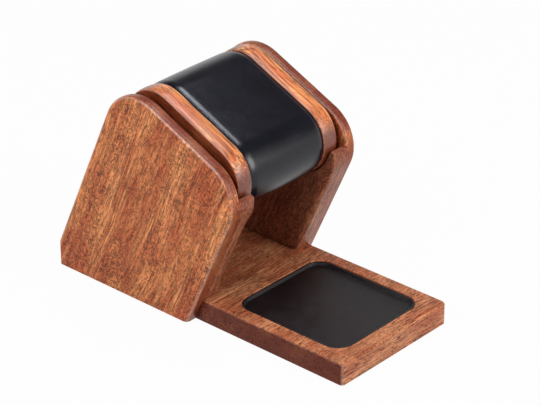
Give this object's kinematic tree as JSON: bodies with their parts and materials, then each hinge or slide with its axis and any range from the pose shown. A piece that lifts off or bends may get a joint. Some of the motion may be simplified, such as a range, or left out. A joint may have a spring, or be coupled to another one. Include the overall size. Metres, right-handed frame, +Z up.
{
  "type": "watch stand",
  "caption": "Wooden desk stand for a wristwatch: a padded leather drum lifts out of two leaning cheeks, and the base reaches forward as a shallow leather-lined tray.",
  "frame": {"origin": "table level under the middle of the stand's overall width and length", "axes": "+X to the right across the stand, -Y towards the tray's front, +Z up"},
  "size_m": [0.09, 0.1844, 0.1135],
  "materials": {
    "stand_wood": "satin oil",
    "cap_wood": "satin oil",
    "core_wood": "bare",
    "drum_leather": "satin",
    "tray_leather": "satin",
    "foam": "open-cell foam",
    "felt": "matte felt",
    "screw_steel": "zinc plated"
  },
  "bodies": {
    "stand": {"base_board": "stand_wood", "tray_lining": "tray_leather", "base_screws": "screw_steel", "felt_pads": "felt", "left_side_panel": "stand_wood", "right_side_panel": "stand_wood", "left_cradle": "stand_wood", "right_cradle": "stand_wood"},
    "drum": {"left_end_cap": "cap_wood", "right_end_cap": "cap_wood", "cap_dowels": "core_wood", "drum_core": "core_wood", "drum_padding": "foam", "leather_sleeve": "drum_leather"}
  },
  "joints": [
    {"name": "drum_lift", "type": "slide", "parent": "stand", "child": "drum", "axis": [0, -0.4115, 0.9114], "range_m": [0, 0.05]}
  ]
}
